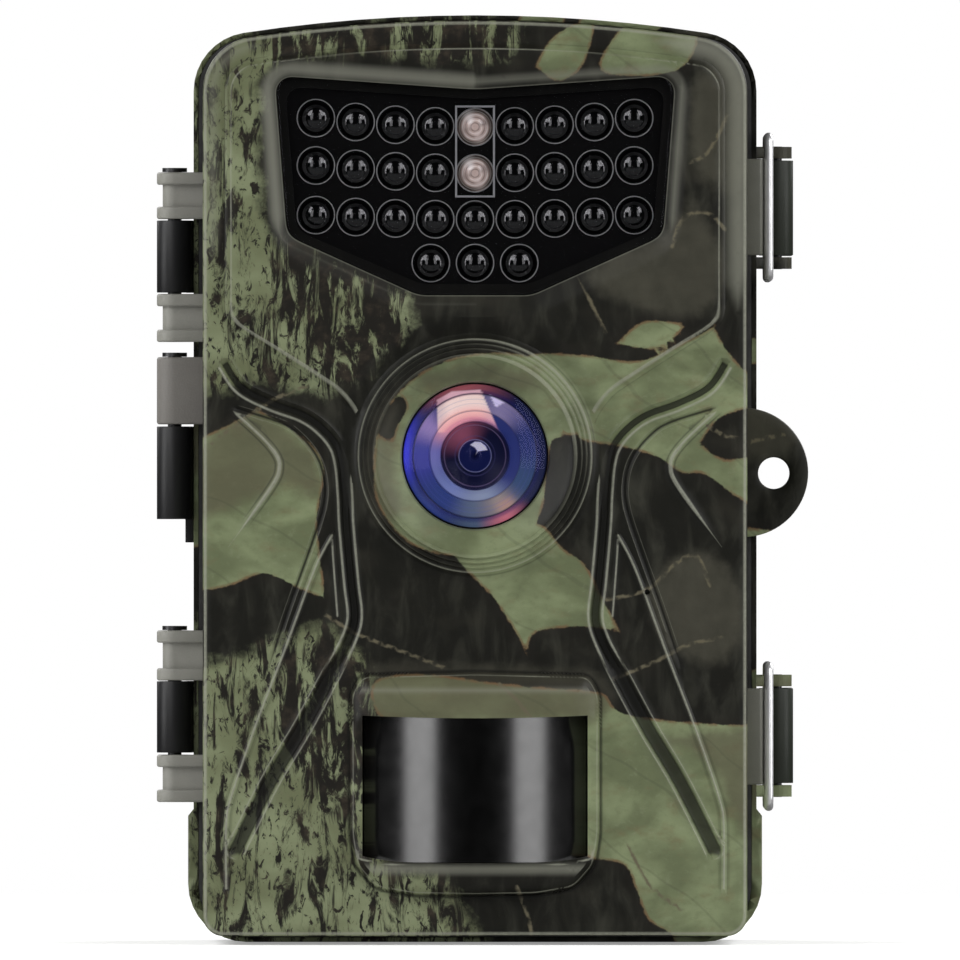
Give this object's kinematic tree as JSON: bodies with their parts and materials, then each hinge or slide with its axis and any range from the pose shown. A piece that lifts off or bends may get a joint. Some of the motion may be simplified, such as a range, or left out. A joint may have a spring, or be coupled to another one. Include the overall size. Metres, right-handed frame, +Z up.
{
  "type": "trail camera",
  "caption": "Weatherproof trail camera: a hinged front housing with lens, infrared lamps and motion sensor, latched to a battery housing with tree and tripod mounts.",
  "frame": {"origin": "mouth of the tripod socket, in the middle of the base", "axes": "+Z up; the camera looks along -Y; +X is to the right seen from the front, on the latch side"},
  "size_m": [0.0948, 0.0754, 0.135],
  "materials": {
    "case_plastic": "fine-grained moulding with a printed camouflage skin",
    "hinge_plastic": "satin black moulding",
    "seal_rubber": "soft black rubber",
    "tray_plastic": "black moulding with a fine grain",
    "cell_jacket": null,
    "contact_steel": "nickel plate",
    "contact_gold": "gold flash",
    "bracket_plastic": "olive moulding",
    "thread_brass": "turned brass",
    "latch_plastic": "printed camouflage skin",
    "bail_wire": "bright drawn steel wire",
    "jack_plastic": "black moulding",
    "window_acrylic": "dark glossy acrylic",
    "lamp_epoxy": "black glossy epoxy",
    "clear_epoxy": "clear epoxy",
    "frame_print": "grey print",
    "circuit_board": "green solder mask",
    "lens_front_glass": "coated glass with blue and violet reflections",
    "lens_black": "matt black with anti-reflection rings",
    "optical_glass": "coated glass",
    "chip_black": "chip packages",
    "pir_window": "glossy black polyethylene",
    "metal_can": "plated steel",
    "screen_grey": "display body",
    "screen_window": "clear cover",
    "key_rubber": "grey silicone",
    "switch_plastic": "white moulding",
    "card_plastic": "card shell"
  },
  "bodies": {
    "rear": {"rear_shell": "case_plastic", "door_seal": "seal_rubber", "battery_tray": "tray_plastic", "battery_cells": "cell_jacket", "battery_springs": "contact_steel", "battery_contacts": "contact_steel", "power_contact_pads": "contact_gold", "tree_bracket": "bracket_plastic", "bracket_screws": "contact_steel", "tripod_insert": "thread_brass", "hinge_barrels": "hinge_plastic", "hinge_pins": "contact_steel", "latch_pins": "contact_steel", "dc_jack": "jack_plastic"},
    "door": {"front_shell": "case_plastic", "ir_window": "window_acrylic", "led_holder": "jack_plastic", "ir_leds": "lamp_epoxy", "light_sensor": "clear_epoxy", "status_led": "clear_epoxy", "sensor_frame": "frame_print", "led_board": "circuit_board", "lens_glass": "lens_front_glass", "lens_barrel": "lens_black", "lens_elements": "optical_glass", "lens_holder": "lens_black", "ir_cut_filter": "optical_glass", "image_sensor": "chip_black", "sensor_board": "circuit_board", "pir_lens": "pir_window", "pir_sensor": "metal_can", "pir_holder": "jack_plastic", "main_board": "circuit_board", "board_chips": "chip_black", "microphone": "metal_can", "inner_panel": "tray_plastic", "panel_screws": "contact_steel", "lcd_module": "screen_grey", "lcd_window": "screen_window", "keypad_board": "circuit_board", "mode_switch_body": "jack_plastic", "sd_socket": "metal_can", "usb_port": "metal_can", "power_contact_pins": "contact_gold"},
    "lever_upper": {"latch_lever_upper": "latch_plastic"},
    "lever_lower": {"latch_lever_lower": "latch_plastic"},
    "bail_upper": {"wire_bail_upper": "bail_wire"},
    "bail_lower": {"wire_bail_lower": "bail_wire"},
    "plug": {"dc_plug": "seal_rubber"},
    "mode_switch": {"mode_switch_knob": "switch_plastic"},
    "card": {"sd_card": "card_plastic"},
    "key_ok": {"button_ok": "key_rubber"},
    "key_up": {"button_up": "key_rubber"},
    "key_down": {"button_down": "key_rubber"},
    "key_left": {"button_left": "key_rubber"},
    "key_right": {"button_right": "key_rubber"},
    "key_menu": {"button_menu": "key_rubber"}
  },
  "joints": [
    {"name": "door_hinge", "type": "hinge", "parent": "rear", "child": "door", "pos_m": [-0.04375, -0.014, 0.0675], "axis": [0, 0, -1], "range_deg": [0, 170]},
    {"name": "latch_upper", "type": "hinge", "parent": "rear", "child": "lever_upper", "pos_m": [0.044, -0.006, 0.107], "axis": [0, 0, -1], "range_deg": [0, 90]},
    {"name": "bail_upper", "type": "hinge", "parent": "lever_upper", "child": "bail_upper", "pos_m": [0.0427, 0.002, 0.107], "axis": [0, 0, -1], "range_deg": [-70, 0]},
    {"name": "latch_lower", "type": "hinge", "parent": "rear", "child": "lever_lower", "pos_m": [0.044, -0.006, 0.03], "axis": [0, 0, -1], "range_deg": [0, 90]},
    {"name": "bail_lower", "type": "hinge", "parent": "lever_lower", "child": "bail_lower", "pos_m": [0.0427, 0.002, 0.03], "axis": [0, 0, -1], "range_deg": [-70, 0]},
    {"name": "plug_flap", "type": "hinge", "parent": "rear", "child": "plug", "pos_m": [0.015, 0, 0.0013], "axis": [0, 1, 0], "range_deg": [0, 95]},
    {"name": "mode_slide", "type": "slide", "parent": "door", "child": "mode_switch", "axis": [1, 0, 0], "range_m": [0, 0.008]},
    {"name": "card_slide", "type": "slide", "parent": "door", "child": "card", "axis": [0, 0, -1], "range_m": [0, 0.028]},
    {"name": "press_ok", "type": "slide", "parent": "door", "child": "key_ok", "axis": [0, -1, 0], "range_m": [0, 0.0004], "stiffness_N_per_m": 800},
    {"name": "press_up", "type": "slide", "parent": "door", "child": "key_up", "axis": [0, -1, 0], "range_m": [0, 0.0004], "stiffness_N_per_m": 800},
    {"name": "press_down", "type": "slide", "parent": "door", "child": "key_down", "axis": [0, -1, 0], "range_m": [0, 0.0004], "stiffness_N_per_m": 800},
    {"name": "press_left", "type": "slide", "parent": "door", "child": "key_left", "axis": [0, -1, 0], "range_m": [0, 0.0004], "stiffness_N_per_m": 800},
    {"name": "press_right", "type": "slide", "parent": "door", "child": "key_right", "axis": [0, -1, 0], "range_m": [0, 0.0004], "stiffness_N_per_m": 800},
    {"name": "press_menu", "type": "slide", "parent": "door", "child": "key_menu", "axis": [0, -1, 0], "range_m": [0, 0.0004], "stiffness_N_per_m": 800}
  ],
  "couplings": [
    {"joint": "bail_upper", "follows": "latch_upper", "ratio": -0.7},
    {"joint": "bail_lower", "follows": "latch_lower", "ratio": -0.7}
  ]
}
